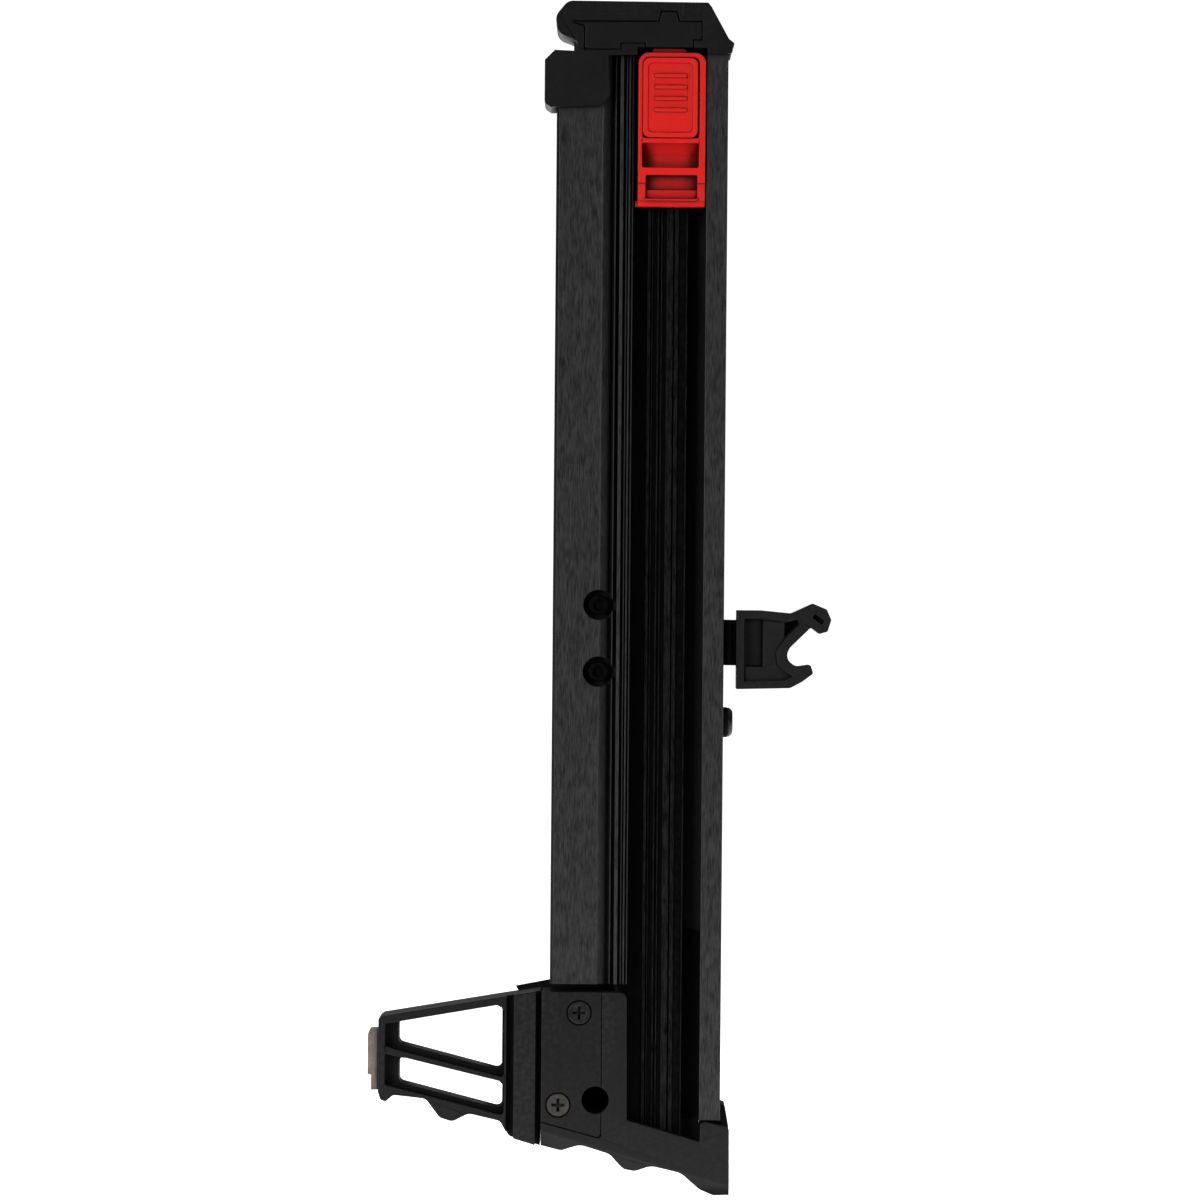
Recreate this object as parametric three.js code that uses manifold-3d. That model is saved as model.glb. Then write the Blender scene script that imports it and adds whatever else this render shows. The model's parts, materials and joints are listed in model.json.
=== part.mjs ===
// Removable long magazine for a fencing staple gun, in millimetres, +Z up.
// The slotted front faces -Y, and the origin is the axis of the lock pin hole in the nose, at mid depth.
// A strip of staples straddles the rail, crowns to +X and legs to -X, and is pushed down to the nose.
import * as THREE from "three";
import { mergeVertices } from "three/addons/utils/BufferGeometryUtils.js";
import Module from "manifold-3d";

const wasm = await Module();
wasm.setup();

// ---------- driving dimensions ----------

const GAP = 0.3;
const ARC_STEPS = 7;

const TRACK = { left: -20, right: 53.7, front: -15, back: 15, bottom: -8.4, top: 451.1, chamfer: 1.2 };
const SLOT = { left: 13.2, right: 44.5 };
const STAPLE_SPACE = { left: 7.5, right: 49, half: 6.8 };
const RAIL = { left: 4.5, right: 37, half: 2.3, web: 1.2, bottom: -18.5, top: 449 };
const STRIP_BACK = -12.2;
const SCREW_PORTS = [[-11.2, 0, 2.0], [33, 10.9, 1.7]];

const NOSE = { front: -16.2, back: 15, top: 46.3, trackGap: 3.4, tilt: THREE.MathUtils.degToRad(15.8) };
const COVER = { left: -23.4, right: 2.4, thick: 3 };
const PIN_HOLE_RADIUS = 5.9;
const COVER_SCREWS = { upper: [-7.2, 37.5], lower: [-16, -2.2] };
const ARM = { front: -13.8, back: 15, webDepth: 6 };
const BACK_PLATE = { front: 15.3, back: 18.3 };
const BACK_SCREWS = { nose: [[-17, 36], [-15, -8]], track: [[29, 34], [47, 2]], arm: [[-29, 34], [-29, -6]] };

const CAP = { front: -17.2, back: 17.2, apron: 449.2, floor: 451.4, top: 472.5 };
const CAP_PLATE_DEPTH = 2.5;
const CAP_PLATE_GAP = 0.4;

const BRACKET = { front: 15.3, thick: 3, bottom: 187.2, top: 206.9, tongueFront: -2, tongueEnd: 70.2 };
const BRACKET_SCREWS = { upper: 212.9, lower: 184.2 };
const BRACKET_SCREW_X = -0.35;
const COUNTERBORE = { radius: 6.5, floor: -7.9 };
const CLIP = { front: -7.5, back: 6.5, recess: 1.6 };
const BUMPER_HEIGHT = 162.6;

const PUSHER = { left: 15.1, right: 44, front: -15.7, back: -6.8, bottom: 384.5, top: 450.6, wall: 1.8 };
const PAD = { left: 17.1, right: 40.6, front: -16.1, back: -14.4, bottom: 414.1, top: 448.4 };
const PAD_PIVOT = { y: -12.6, z: 416.2, radius: 1 };
const PUSHER_SCREWS = [[20.6, 440], [37.6, 440]];
const FOLLOWER = { left: 9, right: 47.4, front: -6.5, back: 5.6, bottom: 384.8, top: 446.5 };
const DRUM = { x: 39.1, z: 424.6, radius: 7, bore: 2.3, front: -10.6, back: -8.1 };
const TAPE = { thick: 0.4, bottom: -3.1 };

// ---------- finishes ----------

const finish = (color, metalness, roughness) => (
  new THREE.MeshStandardMaterial({ color, metalness, roughness })
);
const ANODISED = finish(0x2a2a2c, 0.7, 0.45);
const CAST_BLACK = finish(0x272728, 0.3, 0.5);
const BLACK_PLASTIC = finish(0x232324, 0, 0.55);
const BLACK_STEEL = finish(0x151516, 0.6, 0.45);
const COVER_STEEL = finish(0x222223, 0.5, 0.45);
const WARM_STEEL = finish(0x5a5750, 0.8, 0.4);
const BRONZE_STEEL = finish(0x6f665c, 0.8, 0.45);
const SPRING_STEEL = finish(0x8d9196, 0.9, 0.3);
const RED_PLASTIC = finish(0xe01414, 0, 0.4);
const RUBBER = finish(0x18181a, 0, 0.8);

// ---------- shape helpers ----------

// A closed outline of corners [x, y] or [x, y, radius]; a corner with a radius is rounded by an arc.
function outline(corners) {
  const shape = new THREE.Shape();
  const count = corners.length;
  corners.forEach(([x, y, radius = 0], i) => {
    const here = new THREE.Vector2(x, y);
    const back = new THREE.Vector2(...corners[(i + count - 1) % count]).sub(here).normalize();
    const ahead = new THREE.Vector2(...corners[(i + 1) % count]).sub(here).normalize();
    const half = Math.acos(THREE.MathUtils.clamp(back.dot(ahead), -1, 1)) / 2;
    const reach = radius / Math.tan(half);
    const start = here.clone().addScaledVector(back, reach);
    if (i === 0) shape.moveTo(start.x, start.y);
    else shape.lineTo(start.x, start.y);
    if (radius > 0) {
      const middle = back.clone().add(ahead).normalize();
      const centre = here.clone().addScaledVector(middle, radius / Math.sin(half));
      const end = here.clone().addScaledVector(ahead, reach);
      const from = start.clone().sub(centre).angle();
      const to = end.clone().sub(centre).angle();
      shape.absarc(centre.x, centre.y, radius, from, to, back.cross(ahead) > 0);
    }
  });
  shape.closePath();
  return shape;
}

// A solid for joining and cutting, from a closed geometry.
function solid(geometry) {
  const bare = geometry.clone();
  bare.deleteAttribute("normal");
  bare.deleteAttribute("uv");
  const merged = mergeVertices(bare, 1e-4);
  const vertProperties = new Float32Array(merged.attributes.position.array);
  const triVerts = new Uint32Array(merged.index.array);
  const body = new wasm.Manifold(new wasm.Mesh({ numProp: 3, vertProperties, triVerts }));
  if (body.volume() > 0) return body;
  return new wasm.Manifold(new wasm.Mesh({ numProp: 3, vertProperties, triVerts: triVerts.reverse() }));
}

// An outline in the XZ plane, carried along Y from front to back.
function plate(corners, front, back) {
  const options = { depth: back - front, bevelEnabled: false, curveSegments: ARC_STEPS };
  const geometry = new THREE.ExtrudeGeometry(outline(corners), options);
  geometry.rotateX(Math.PI / 2);
  geometry.translate(0, back, 0);
  return solid(geometry);
}

// An outline in the XY plane, carried along Z from bottom to top.
function bar(corners, bottom, top) {
  const options = { depth: top - bottom, bevelEnabled: false, curveSegments: ARC_STEPS };
  const geometry = new THREE.ExtrudeGeometry(outline(corners), options);
  geometry.translate(0, 0, bottom);
  return solid(geometry);
}

function block(x0, x1, y0, y1, z0, z1) {
  const geometry = new THREE.BoxGeometry(x1 - x0, y1 - y0, z1 - z0);
  geometry.translate((x0 + x1) / 2, (y0 + y1) / 2, (z0 + z1) / 2);
  return solid(geometry);
}

// Turns a geometry made about the Y axis so that its +Y points along the named axis, then places it.
function along(axis, geometry, at) {
  const quarter = Math.PI / 2;
  const ways = { "+Y": [0, 0, 0], "-Y": [Math.PI, 0, 0], "+Z": [quarter, 0, 0], "+X": [0, 0, -quarter] };
  geometry.applyMatrix4(new THREE.Matrix4().makeRotationFromEuler(new THREE.Euler(...ways[axis])));
  geometry.translate(...at);
  return solid(geometry);
}

// A rod between two places along the axis.
function rod(axis, at, radius, from, to, sides = 24) {
  const geometry = new THREE.CylinderGeometry(radius, radius, to - from, sides);
  geometry.translate(0, (from + to) / 2, 0);
  return along(axis, geometry, at);
}

// A turned piece: its half profile of [radius, height] starts and ends on the axis.
function turned(axis, at, profile, sides = 22) {
  const geometry = new THREE.LatheGeometry(profile.map(([r, h]) => new THREE.Vector2(r, h)), sides);
  return along(axis, geometry, at);
}

// A hole along Y at [x, z].
const screwHole = ([x, z], radius, from, to) => rod("+Y", [x, 0, z], radius, from, to, 20);

const join = (first, ...others) => others.reduce((whole, part) => whole.add(part), first);
const cut = (first, ...others) => others.reduce((whole, part) => whole.subtract(part), first);

const object = new THREE.Group();

// Adds a solid to the object as a named mesh.
function piece(name, body, material) {
  const mesh = body.getMesh();
  const geometry = new THREE.BufferGeometry();
  geometry.setAttribute("position", new THREE.BufferAttribute(mesh.vertProperties, 3));
  geometry.setIndex(new THREE.BufferAttribute(mesh.triVerts, 1));
  geometry.computeVertexNormals();
  const result = new THREE.Mesh(geometry, material);
  result.name = name;
  object.add(result);
}

// ---------- fasteners ----------

// A countersunk cross-recess screw whose flat head lies at height 0 of its axis.
function crossScrew(axis, at, headRadius, shankRadius, length) {
  const headHeight = headRadius - shankRadius;
  const profile = [
    [0, -length],
    [shankRadius - 0.4, -length],
    [shankRadius, -length + 0.6],
    [shankRadius, -headHeight - 0.6],
    [headRadius, -0.6],
    [headRadius, -0.25],
    [headRadius - 0.25, 0],
    [0, 0],
  ];
  const wing = headRadius * 0.58;
  const slit = headRadius * 0.13;
  const depth = headRadius * 0.4;
  const recess = join(
    along(axis, new THREE.BoxGeometry(2 * wing, 2 * depth, 2 * slit), at),
    along(axis, new THREE.BoxGeometry(2 * slit, 2 * depth, 2 * wing), at),
  );
  return cut(turned(axis, at, profile), recess);
}

// A socket head screw whose head top lies at height 0 of its axis.
function socketScrew(axis, at, headRadius, headHeight, shankRadius, length) {
  const profile = [
    [0, -length],
    [shankRadius - 0.4, -length],
    [shankRadius, -length + 0.6],
    [shankRadius, -headHeight],
    [headRadius, -headHeight],
    [headRadius, -0.5],
    [headRadius - 0.5, 0],
    [0, 0],
  ];
  return cut(turned(axis, at, profile), rod(axis, at, headRadius * 0.6, -headHeight * 0.55, 1, 6));
}

// ---------- track ----------

// Ridges between the rounded shoulder and the slot: [left, right, front].
const RIDGES = [
  [5.3, 5.9, -12.7],
  [7.4, 8.9, -14.2],
  [10, 10.6, -12.9],
  [11.2, 11.9, -13.5],
  [12.6, SLOT.left, -12.6],
];
const RIDGE_FLOOR = -10;
const SHOULDER = { start: 0.1, end: 3.5, drop: 3 };

function trackSection() {
  const { left, right, front, back, chamfer } = TRACK;
  const space = STAPLE_SPACE;
  const corners = [[left + chamfer, front]];
  corners.push([SHOULDER.start, front, 2]);
  corners.push([SHOULDER.end, front + SHOULDER.drop]);
  corners.push([SHOULDER.end, RIDGE_FLOOR]);
  for (const [from, to, crest] of RIDGES) {
    corners.push([from, RIDGE_FLOOR]);
    corners.push([from, crest]);
    corners.push([to, crest]);
    if (to !== SLOT.left) corners.push([to, RIDGE_FLOOR]);
  }
  corners.push([SLOT.left, -space.half]);
  corners.push([space.left, -space.half]);
  corners.push([space.left, -RAIL.half - GAP]);
  corners.push([RAIL.left - GAP, -RAIL.half - GAP]);
  corners.push([RAIL.left - GAP, RAIL.half + GAP]);
  corners.push([space.left, RAIL.half + GAP]);
  corners.push([space.left, space.half]);
  corners.push([space.right, space.half]);
  corners.push([space.right, STRIP_BACK + GAP]);
  corners.push([right, STRIP_BACK + GAP]);
  corners.push([right, back - chamfer]);
  corners.push([right - chamfer, back]);
  corners.push([left + chamfer, back]);
  corners.push([left, back - chamfer]);
  corners.push([left, front + chamfer]);
  return corners;
}

function trackExtrusion() {
  let body = bar(trackSection(), TRACK.bottom, TRACK.top);
  const below = TRACK.bottom - 1;
  const above = TRACK.top + 1;
  for (const side of [-1, 1]) {
    const cell = [[-16.6, 4.2 * side, 1], [-5.6, 4.2 * side, 1], [-5.6, 12 * side, 1], [-16.6, 12 * side, 1]];
    body = cut(body, bar(cell, below, above));
  }
  for (const [x, y, radius] of SCREW_PORTS) {
    body = cut(body, rod("+Z", [x, y, 0], radius, below, above, 16));
  }
  body = cut(body, block(TRACK.left - 1, 14.1, -20, 20, below, NOSE.top + NOSE.trackGap));
  for (const height of Object.values(BRACKET_SCREWS)) {
    const at = [BRACKET_SCREW_X, 0, height];
    body = cut(body, rod("+Y", at, COUNTERBORE.radius, TRACK.front - 1, COUNTERBORE.floor, 40));
    body = cut(body, rod("+Y", at, 2.9, COUNTERBORE.floor - 1, TRACK.back + 1, 20));
  }
  for (const at of BACK_SCREWS.track) {
    body = cut(body, screwHole(at, 2.1, 8, TRACK.back + 1));
  }
  return cut(body, rod("+X", [0, 0, BUMPER_HEIGHT], 2.3, STAPLE_SPACE.right - 1, TRACK.right + 1, 16));
}
piece("track_extrusion", trackExtrusion(), ANODISED);

// Flat strip that closes the right-hand edge of the slot and keeps the spring behind it.
const SLOT_STRIP = [
  [SLOT.right, TRACK.front, 0.4],
  [TRACK.right - 0.4, TRACK.front],
  [TRACK.right, TRACK.front + 0.6],
  [TRACK.right, STRIP_BACK],
  [SLOT.right, STRIP_BACK],
];
piece("slot_strip", bar(SLOT_STRIP, TRACK.bottom, TRACK.top), ANODISED);

// Steel rail that the strip straddles: a web with ribs on its front face, held by its thick left edge.
const RAIL_RIBS = [[19.7, 21], [21.6, 22], [24, 24.6], [25.6, 26.1], [28, 30.7], [31.4, 33]];
function stapleRail() {
  const corners = [[RAIL.left, -RAIL.half], [9, -RAIL.half], [10.5, -RAIL.web]];
  for (const [from, to] of RAIL_RIBS) {
    corners.push([from, -RAIL.web]);
    corners.push([from, -RAIL.half]);
    corners.push([to, -RAIL.half]);
    corners.push([to, -RAIL.web]);
  }
  corners.push([RAIL.right - 0.6, -RAIL.web]);
  corners.push([RAIL.right - 0.6, -RAIL.half]);
  corners.push([RAIL.right, -RAIL.half]);
  corners.push([RAIL.right, RAIL.half]);
  corners.push([RAIL.left, RAIL.half]);
  const besideNose = block(0, STAPLE_SPACE.left + GAP, -10, 10, RAIL.bottom - 1, NOSE.top + NOSE.trackGap);
  return cut(bar(corners, RAIL.bottom, RAIL.top), besideNose);
}
piece("staple_rail", stapleRail(), BLACK_STEEL);

// Thin wear liner on the back wall of the staple space, where the strip turns in to the nose.
const LINER = [[7.9, -8], [48.6, -8], [48.6, 68.5], [44, 71.5], [27, 73.8], [19, 71.5], [7.9, 71.5]];
piece("feed_liner", plate(LINER, 5.95, STAPLE_SPACE.half - GAP), BLACK_STEEL);

// ---------- nose ----------

// The foot's outline: a post beside the slot, a scalloped underside and an ear round the track's end.
const SHOE_OUTLINE = [
  [-23.4, -20],
  [-14.6, -22.2, 4],
  [-6.4, -19.3, 8],
  [6.2, -23.2, 5],
  [12, -29.8, 6],
  [17.2, -30.9, 5],
  [24.2, -28.2, 8],
  [37, -31.1, 8],
  [45, -38.4, 8],
  [51, -41, 5],
  [57.8, -40.6],
  [57.6, -11.6, 1.5],
  [47.2, -8.9, 2],
  [45.2, -9.9, 1],
  [45, -17.6, 0.4],
  [13.6, -8.5, 0.4],
  [13.2, NOSE.top, 3],
  [-23.4, NOSE.top],
];

const COVER_OUTLINE = [
  [COVER.left, -9.4],
  [COVER.right, -16.3, 1.2],
  [COVER.right, NOSE.top + 1],
  [COVER.left, NOSE.top + 1],
];

// The pocket that an upright plate sits in: the plate and its shifts by the gap to each corner.
function pocketFor(body, gap) {
  const shifts = [[gap, gap], [gap, -gap], [-gap, gap], [-gap, -gap]];
  return join(body, ...shifts.map(([x, z]) => body.translate([x, 0, z])));
}

// A wedge taken off the toothed underside: it starts on the tilted line through (0, height) and
// falls back from the face by its depth over its drop.
function underCut(side, face, lineHeight, drop, depth) {
  const far = 200;
  const foot = -drop - 30;
  const outside = side * -5;
  const section = [[0, 0], [side * depth, -drop], [side * depth, foot], [outside, foot], [outside, 0]];
  const geometry = new THREE.ExtrudeGeometry(outline(section), { depth: far, bevelEnabled: false });
  geometry.rotateX(Math.PI / 2);
  geometry.rotateZ(Math.PI / 2);
  geometry.translate(-far / 2, 0, 0);
  geometry.applyMatrix4(new THREE.Matrix4().makeRotationY(NOSE.tilt));
  geometry.translate(0, face, lineHeight);
  return solid(geometry);
}

function noseShoe() {
  const { left, half } = STAPLE_SPACE;
  let body = plate(SHOE_OUTLINE, NOSE.front, NOSE.back);
  const rearSill = [[13.6, -19], [45, -20], [45, -8.8], [13.6, -8.8]];
  body = join(body, plate(rearSill, STAPLE_SPACE.half, NOSE.back));
  const gusset = [[54.3, -12], [57.6, -12], [55.9, -2.6, 0.5], [54.3, -2.1]];
  body = join(body, plate(gusset, -9, NOSE.back));
  body = cut(body, pocketFor(plate(COVER_OUTLINE, NOSE.front - 1, NOSE.front + COVER.thick + GAP), GAP));
  body = cut(body, screwHole([0, 0], PIN_HOLE_RADIUS, -30, 30));
  body = cut(body, block(left, SLOT.right + 0.1, -half, half, -60, 60));
  const lightening = [[-19, 8, 2], [9, 8, 2], [9, 30, 2], [-19, 30, 2]];
  body = cut(body, plate(lightening, -8, NOSE.back + 1));
  for (const at of Object.values(COVER_SCREWS)) {
    body = cut(body, screwHole(at, 2.8, -20, 2));
  }
  for (const at of BACK_SCREWS.nose) {
    body = cut(body, screwHole(at, 2.1, 4, 30));
  }
  body = cut(body, underCut(1, NOSE.front, -20, 6, 4.5));
  return cut(body, underCut(-1, NOSE.back, -20, 6, 4.5));
}
piece("nose_shoe", noseShoe(), CAST_BLACK);

function coverPlate() {
  const front = NOSE.front + 0.1;
  const corners = COVER_OUTLINE.map(([x, z, ...rest]) => [x, Math.min(z, NOSE.top), ...rest]);
  let body = plate(corners, front, NOSE.front + COVER.thick);
  body = cut(body, screwHole([0, 0], PIN_HOLE_RADIUS, -30, 30));
  for (const [x, z] of Object.values(COVER_SCREWS)) {
    const seat = [[0, -6], [3, -6], [3, -2.4], [5.5, -0.7], [5.5, 1], [0, 1]];
    body = cut(body, turned("-Y", [x, front, z], seat));
  }
  return body;
}
piece("cover_plate", coverPlate(), COVER_STEEL);
for (const [name, [x, z]] of Object.entries(COVER_SCREWS)) {
  const steel = name === "upper" ? COVER_STEEL : WARM_STEEL;
  piece(`cover_screw_${name}`, crossScrew("-Y", [x, NOSE.front - 0.1, z], 4.9, 2.5, 14), steel);
}

// The arm that carries the wear pad: two windows, each in a recessed web, and a raised strip.
const ARM_OUTLINE = [
  [-93.6, 2.5, 2],
  [-92.4, -0.9, 1],
  [-90.2, -1.5, 1],
  [-87, 1.3, 3],
  [-73, -0.2, 4],
  [-67, -8.2, 4],
  [-61.5, -10, 4],
  [-54.5, -6.4, 5],
  [-41, -9.5, 3],
  [-37.2, -16.2, 3],
  [-23.7, -20.2],
  [-23.7, 46.6],
  [-38.5, 44.3],
  [-91.9, 35.3, 1.2],
  [-93.6, 34, 1],
];
const UPPER_WINDOW = [[-85, 23.3, 2.5], [-40.4, 11.8, 2.5], [-40.4, 40.7, 2.5], [-85, 32.9, 2]];
const LOWER_WINDOW = [[-84.8, 6.5, 2.5], [-40.2, -4.9, 2.5], [-40.2, 7.4, 2.5], [-84.8, 18, 2.5]];
const UPPER_WEB = [
  [-90.7, 22.4, 1.2],
  [-85, 20.6],
  [-39.3, 9.1, 1.5],
  [-39.3, 39.6, 1.5],
  [-80, 33.4],
  [-90.7, 32, 0.8],
];
const LOWER_WEB = [
  [-90.7, 5.6, 1.2],
  [-85, 4.3],
  [-39.3, -7.2, 1.5],
  [-39.3, 6.4, 1.5],
  [-80, 16.6],
  [-90.7, 19.1, 0.8],
];

function noseArm() {
  let body = plate(ARM_OUTLINE, ARM.front, ARM.back);
  const strip = [[-35.2, -16.8], [-25.9, -19.6], [-25.9, 45.9], [-35.2, 44.4]];
  body = join(body, plate(strip, NOSE.front + 0.2, ARM.front + 1));
  for (const [from, to] of [[-38.4, -35.2], [-25.9, -22]]) {
    body = cut(body, block(from, to, -20, ARM.front + 4, -40, 60));
  }
  body = cut(body, plate(UPPER_WINDOW, -20, 20), plate(LOWER_WINDOW, -20, 20));
  for (const web of [UPPER_WEB, LOWER_WEB]) {
    body = cut(body, plate(web, -20, ARM.front + ARM.webDepth), plate(web, ARM.back - ARM.webDepth, 20));
  }
  for (const at of BACK_SCREWS.arm) {
    body = cut(body, screwHole(at, 2.1, 4, 30));
  }
  return body;
}
piece("nose_arm", noseArm(), CAST_BLACK);

const WEAR_PAD = [
  [-96.8, 3.1, 0.5],
  [-93.9, 3.1],
  [-93.9, 28.9],
  [-97.7, 28.9, 1.2],
  [-98.3, 27, 1],
  [-98.3, 9.9],
  [-96.8, 9.5],
];
piece("wear_pad", plate(WEAR_PAD, -9, 9), BRONZE_STEEL);

// Steel plate across the backs of the arm, the nose and the foot of the track, which ties them together.
const BACK_PLATE_OUTLINE = [
  [-33, -13, 3],
  [-22, -16.5],
  [8, -19, 4],
  [51.5, -6, 3],
  [51.5, 60, 4],
  [-19.5, 60, 3],
  [-19.5, 49.8],
  [-35, 46.8],
  [-33, 43.5],
];
const ALL_BACK_SCREWS = Object.values(BACK_SCREWS).flat();

function backPlate() {
  let body = plate(BACK_PLATE_OUTLINE, BACK_PLATE.front, BACK_PLATE.back);
  for (const [x, z] of ALL_BACK_SCREWS) {
    const seat = [[0, -6], [2.3, -6], [2.3, -2.1], [4.1, -0.5], [4.1, 1], [0, 1]];
    body = cut(body, turned("+Y", [x, BACK_PLATE.back, z], seat));
  }
  return body;
}
piece("back_plate", backPlate(), BLACK_STEEL);
ALL_BACK_SCREWS.forEach(([x, z], i) => {
  piece(`back_screw_${i + 1}`, crossScrew("+Y", [x, BACK_PLATE.back, z], 3.7, 1.8, 9), BLACK_STEEL);
});

// ---------- end cap ----------

const CAP_OUTLINE = [
  [-25.3, 428.5, 2.2],
  [-22.6, 426.7, 1],
  [3.1, 427.5, 6.5],
  [2, CAP.apron, 0.8],
  [55, CAP.apron + 1.2, 0.5],
  [55.4, 453, 0.3],
  [56.3, 454.6, 0.6],
  [53.8, 456.6, 0.8],
  [46.3, 470.2, 1],
  [44.8, CAP.top - 0.4, 0.8],
  [-15.5, CAP.top, 5],
  [-20.8, 466, 5],
  [-19.8, 458.6, 5],
  [-11.2, 455.4, 2.2],
  [-11.4, 450.9, 1.6],
  [-21, 451.3, 0.6],
  [-25.3, 447, 0.6],
];
const CAP_PLATE = [
  [-8.1, 461.9],
  [-8.1, 451.9, 0.6],
  [7.3, 451.9],
  [7.3, 454.6],
  [18.1, 454.6],
  [18.1, 452.9],
  [38.3, 452.9],
  [38.3, 456.2],
  [42, 456.2],
  [42, 463.8],
  [32.2, 463.8],
  [31.2, 468.1, 0.6],
  [24.7, 468.1, 0.6],
  [24, 463.8],
  [-13.4, 463.6],
];
const CAP_SCREW_HEAD = 469;

// Two very shallow panels that stand on the cap's front above the inlaid plate.
const CAP_PANELS = [
  [[-17.8, 466.2, 1], [22.6, 466.2], [22.6, 471.5], [-15, 471.5, 3]],
  [[33.8, 466.3], [41.6, 466.3], [41.6, 471.5], [33.8, 471.5]],
];

function endCap() {
  let body = plate(CAP_OUTLINE, CAP.front, CAP.back);
  const { left, right, front, back } = TRACK;
  body = cut(body, block(left - GAP, right + GAP, front - GAP, back + GAP, 400, CAP.floor));
  body = cut(body, block(14.4, 44.7, -30, FOLLOWER.front, 400, 452.7));
  const inlay = plate(CAP_PLATE, CAP.front - 1, CAP.front + CAP_PLATE_DEPTH + GAP);
  body = cut(body, pocketFor(inlay, CAP_PLATE_GAP));
  for (const panel of CAP_PANELS) {
    body = join(body, plate(panel, CAP.front - 0.25, CAP.front + 1));
  }
  for (const [x, y, radius] of SCREW_PORTS) {
    body = cut(body, rod("+Z", [x, y, 0], radius + 0.6, 440, 480, 16));
    body = cut(body, rod("+Z", [x, y, 0], 3.9, CAP_SCREW_HEAD - 3.6, 480, 28));
  }
  return body;
}
piece("end_cap", endCap(), BLACK_PLASTIC);
piece("end_cap_plate", plate(CAP_PLATE, CAP.front, CAP.front + CAP_PLATE_DEPTH), BLACK_PLASTIC);
SCREW_PORTS.forEach(([x, y, radius], i) => {
  const name = `cap_screw_${["left", "right"][i]}`;
  piece(name, socketScrew("+Z", [x, y, CAP_SCREW_HEAD], 3.5, 3.2, radius - GAP, 34), BLACK_STEEL);
});

// ---------- clip that hangs the magazine on the tool ----------

// Strap on the back of the track, bent forward round its side to a tongue that holds the clip.
function clipBracket() {
  const back = BRACKET.front + BRACKET.thick;
  const { bottom, top, thick, tongueFront, tongueEnd } = BRACKET;
  const side = TRACK.right + GAP;
  const strap = [[-9.5, 178, 5], [6, 178, 6], [18, bottom, 8], [side + thick, bottom], [side + thick, top]];
  strap.push([18, top, 8], [6, 219, 6], [-9.5, 219, 5]);
  let body = plate(strap, BRACKET.front, back);
  const bend = [
    [tongueEnd, tongueFront],
    [tongueEnd, tongueFront + thick],
    [side + thick, tongueFront + thick, 1],
    [side + thick, back, 2.5],
    [40, back],
    [40, BRACKET.front],
    [side, BRACKET.front],
    [side, tongueFront, 2.5],
  ];
  body = join(body, bar(bend, bottom, top));
  for (const height of Object.values(BRACKET_SCREWS)) {
    body = cut(body, rod("+Y", [BRACKET_SCREW_X, 0, height], 2.6, 10, 30, 20));
  }
  return body;
}
piece("clip_bracket", clipBracket(), BLACK_STEEL);
for (const [name, height] of Object.entries(BRACKET_SCREWS)) {
  const at = [BRACKET_SCREW_X, COUNTERBORE.floor - 4.6, height];
  piece(`bracket_screw_${name}`, socketScrew("-Y", at, 4.4, 4.4, 2.3, 30), BLACK_STEEL);
}

// The clip: a flat body with a rim, and a jaw that snaps over a pin on the tool.
const CLIP_OUTLINE = [
  [59.3, 177, 0.5],
  [82.6, 177.6, 4],
  [87.8, 180.4, 6],
  [92.6, 184, 1.2],
  [91.3, 187.9, 1.2],
  [85, 186.9, 4.5],
  [80.2, 190.6, 4.2],
  [82.4, 195, 2],
  [91.4, 203.9, 0.8],
  [94.9, 201.1, 1],
  [98.6, 202.1, 1.2],
  [100.2, 207.2, 1.5],
  [98.2, 211.7, 1.2],
  [92.2, 214.2, 0.8],
  [83, 209.9, 3],
  [70, 211.1],
  [59.3, 211.1, 0.5],
];
const CLIP_PANEL = [
  [62.6, 180.4, 0.5],
  [80, 180.9, 3],
  [83.8, 182.6],
  [77.4, 186.8, 5],
  [76.4, 193, 5],
  [80.2, 198.6],
  [86.6, 205.2],
  [85.5, 207.3, 0.5],
  [81, 206.2, 3],
  [71, 207.6],
  [62.6, 207.6, 0.5],
];
const CLIP_WINDOW = [[63.1, 186.8, 0.4], [70.9, 186.8, 0.4], [70.9, 207.2, 0.4], [63.1, 207.2, 0.4]];
const CLIP_POCKET = [[80, 199.5], [86.2, 205.3, 0.3], [85.3, 207, 0.5], [80, 205.7]];
const CLIP_TIP_SLOT = [[91.9, 208.1], [96.2, 205.1], [97.3, 206.8], [93.1, 209.8]];

function toolClip() {
  let body = plate(CLIP_OUTLINE, CLIP.front, CLIP.back);
  body = cut(body, plate(CLIP_PANEL, CLIP.front - 1, CLIP.front + CLIP.recess));
  body = cut(body, plate(CLIP_PANEL, CLIP.back - CLIP.recess, CLIP.back + 1));
  const { tongueFront, tongueEnd, thick, bottom, top } = BRACKET;
  const sleeve = [tongueFront - GAP, tongueFront + thick + GAP, bottom - GAP, top + GAP];
  body = cut(body, block(50, tongueEnd + GAP, ...sleeve));
  body = cut(body, plate(CLIP_WINDOW, CLIP.front - 1, tongueFront));
  body = cut(body, plate(CLIP_POCKET, CLIP.front - 1, 0));
  body = cut(body, plate(CLIP_TIP_SLOT, CLIP.front - 1, CLIP.front + 3.5));
  return body;
}
piece("tool_clip", toolClip(), BLACK_PLASTIC);

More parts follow.
